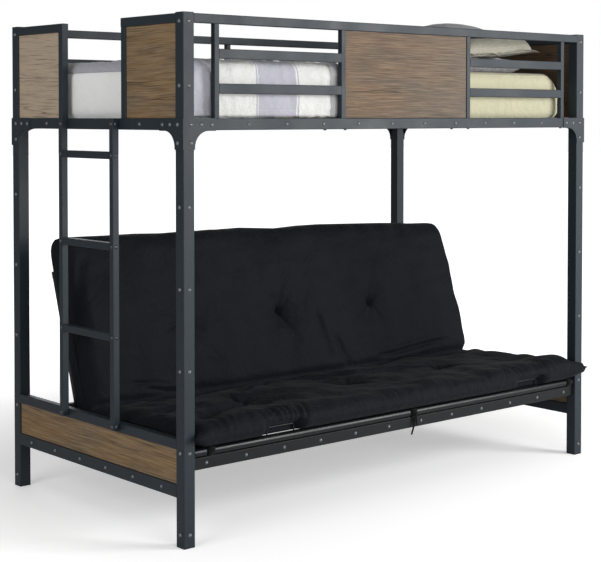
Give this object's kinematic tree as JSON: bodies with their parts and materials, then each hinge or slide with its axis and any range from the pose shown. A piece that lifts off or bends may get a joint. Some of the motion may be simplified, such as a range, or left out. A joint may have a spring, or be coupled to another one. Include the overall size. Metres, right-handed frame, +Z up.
{
  "type": "loft bed",
  "caption": "Loft bed of square steel tube with riveted corner brackets and timber panels, a ladder at one end and a futon below that slides out and folds flat.",
  "frame": {"origin": "on the floor, under the middle of the whole outline", "axes": "+X along the bed, from the ladder end to the headboard end; +Y from the open front to the back; +Z up"},
  "size_m": [2.025, 1.1086, 1.7479],
  "materials": {
    "frame_steel": "dark slate grey powder coat, fine satin texture",
    "weathered_wood": "weathered brown board with dark cracks along the grain",
    "rivet_steel": "dark painted rivet heads, glossier than the tube",
    "bolt_steel": "dark painted bolts and pins",
    "futon_steel": "near black satin paint",
    "black_plastic": "black moulded plastic",
    "mattress_cover": "pale yellow green cotton sheet",
    "comforter_cloth": "white and lilac grey striped cotton",
    "lilac_cotton": "lilac grey cotton pillowcase",
    "cream_cotton": "cream cotton pillowcase with a flanged edge",
    "grey_cotton": "grey cotton pillowcase",
    "futon_cloth": "near black cotton duck cover",
    "tie_cloth": "black cotton tape"
  },
  "bodies": {
    "frame": {"post_front_left": "frame_steel", "post_front_right": "frame_steel", "post_back_left": "frame_steel", "post_back_right": "frame_steel", "post_feet": "black_plastic", "post_top_caps": "frame_steel", "front_top_rail": "frame_steel", "back_top_rail": "frame_steel", "front_side_rail": "frame_steel", "back_side_rail": "frame_steel", "end_deck_rails": "frame_steel", "front_guard_stiles": "frame_steel", "back_guard_stiles": "frame_steel", "front_guard_bars": "frame_steel", "back_guard_bars": "frame_steel", "end_top_rails": "frame_steel", "left_end_stiles": "frame_steel", "left_end_panels": "weathered_wood", "headboard_panel": "weathered_wood", "guard_panel": "weathered_wood", "lower_end_rails": "frame_steel", "lower_end_panels": "weathered_wood", "long_lower_rails": "frame_steel", "corner_brackets": "frame_steel", "post_rivets": "rivet_steel", "bracket_rivets": "rivet_steel", "rail_rivets": "rivet_steel", "rail_bolts": "bolt_steel", "deck_ledges": "frame_steel", "deck_slats": "frame_steel", "deck_centre_rail": "frame_steel", "ladder_stiles": "frame_steel", "ladder_rungs": "frame_steel", "frame_end_plates": "frame_steel", "ladder_bolts": "bolt_steel", "seat_runners": "frame_steel", "guide_plates": "frame_steel", "guide_spacers": "bolt_steel", "upper_mattress": "mattress_cover", "comforter": "comforter_cloth", "pillow_lilac": "lilac_cotton", "pillow_cream": "cream_cotton", "pillow_grey": "grey_cotton"},
    "seat": {"seat_front_tube": "futon_steel", "seat_side_tubes": "futon_steel", "seat_end_plates": "futon_steel", "seat_rear_tube": "futon_steel", "seat_slats": "futon_steel", "seat_centre_tube": "futon_steel", "seat_glides": "black_plastic", "mattress_keeps": "futon_steel", "hinge_pins": "bolt_steel", "futon_seat_mattress": "futon_cloth", "mattress_ties": "tie_cloth"},
    "back": {"back_side_tubes": "futon_steel", "back_top_tube": "futon_steel", "back_end_plates": "futon_steel", "back_slats": "futon_steel", "back_centre_tube": "futon_steel", "futon_back_mattress": "futon_cloth"}
  },
  "joints": [
    {"name": "seat_slide", "type": "slide", "parent": "frame", "child": "seat", "axis": [0, -1, 0], "range_m": [0, 0.35]},
    {"name": "back_fold", "type": "hinge", "parent": "seat", "child": "back", "pos_m": [0, 0.19475, 0.297], "axis": [-1, 0, 0], "range_deg": [0, 72]}
  ],
  "couplings": [
    {"joint": "back_fold", "follows": "seat_slide", "rad_per_m": 3.59}
  ]
}
